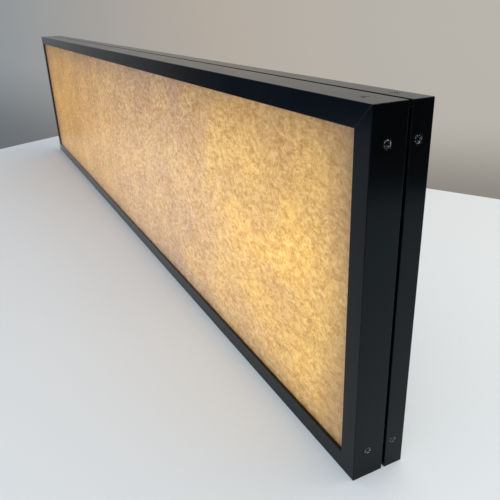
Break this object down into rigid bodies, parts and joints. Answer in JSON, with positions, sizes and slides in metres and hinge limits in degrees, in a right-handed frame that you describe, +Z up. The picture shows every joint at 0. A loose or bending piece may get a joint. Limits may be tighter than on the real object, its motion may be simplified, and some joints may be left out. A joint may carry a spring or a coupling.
{
  "type": "light box sign",
  "caption": "Slim lit sign box: two mitred black frames with a shadow gap, an opal face under brown masking paper, an LED tray inside and keyhole plates on the back.",
  "frame": {"origin": "middle of the bottom of the sign, on the surface that it stands on", "axes": "+X along the sign, the lit face looks to -Y, +Z up"},
  "size_m": [1.206, 0.043, 0.26],
  "materials": {
    "frame_black": "satin black coat",
    "tray_black": "matt black coat",
    "mill_aluminium": "mill finish",
    "black_screw": "blackened steel",
    "kraft_paper": "matt, lit from behind",
    "opal_acrylic": "opal, lit from behind",
    "white_reflector": "matt white",
    "white_board": "white solder mask",
    "led_chip": "phosphor",
    "clear_lens": "clear moulded",
    "black_plastic": "moulded",
    "white_plastic": "moulded",
    "red_sleeve": "soft sleeve",
    "black_sleeve": "soft sleeve",
    "zinc_steel": "zinc plated",
    "brass": "plain"
  },
  "bodies": {
    "base": {"rear_rail_top": "frame_black", "rear_rail_bottom": "frame_black", "rear_rail_left": "frame_black", "rear_rail_right": "frame_black", "rear_cleat_top_left": "mill_aluminium", "rear_cleat_top_right": "mill_aluminium", "rear_cleat_bottom_left": "mill_aluminium", "rear_cleat_bottom_right": "mill_aluminium", "rear_screws": "black_screw", "lighting_tray": "tray_black", "reflector_sheet": "white_reflector", "led_bar_lower": "white_board", "led_bar_middle": "white_board", "led_bar_upper": "white_board", "led_chips_lower": "led_chip", "led_chips_middle": "led_chip", "led_chips_upper": "led_chip", "led_lenses_lower": "clear_lens", "led_lenses_middle": "clear_lens", "led_lenses_upper": "clear_lens", "bar_rivets": "black_plastic", "bar_connectors": "white_plastic", "red_wires": "red_sleeve", "black_wires": "black_sleeve", "power_socket": "black_plastic", "socket_nut": "zinc_steel", "socket_pin": "brass", "socket_tabs": "brass", "hanger_plate_left": "zinc_steel", "hanger_plate_right": "zinc_steel", "hanger_rivets": "zinc_steel"},
    "front_cover": {"front_rail_top": "frame_black", "front_rail_bottom": "frame_black", "front_rail_left": "frame_black", "front_rail_right": "frame_black", "front_cleat_top_left": "mill_aluminium", "front_cleat_top_right": "mill_aluminium", "front_cleat_bottom_left": "mill_aluminium", "front_cleat_bottom_right": "mill_aluminium", "front_screws": "black_screw", "masking_paper": "kraft_paper", "opal_panel": "opal_acrylic", "bead_top": "mill_aluminium", "bead_bottom": "mill_aluminium", "bead_left": "mill_aluminium", "bead_right": "mill_aluminium"}
  },
  "joints": [
    {"name": "front_cover_pull", "type": "slide", "parent": "base", "child": "front_cover", "axis": [0, -1, 0], "range_m": [0, 0.08]}
  ]
}
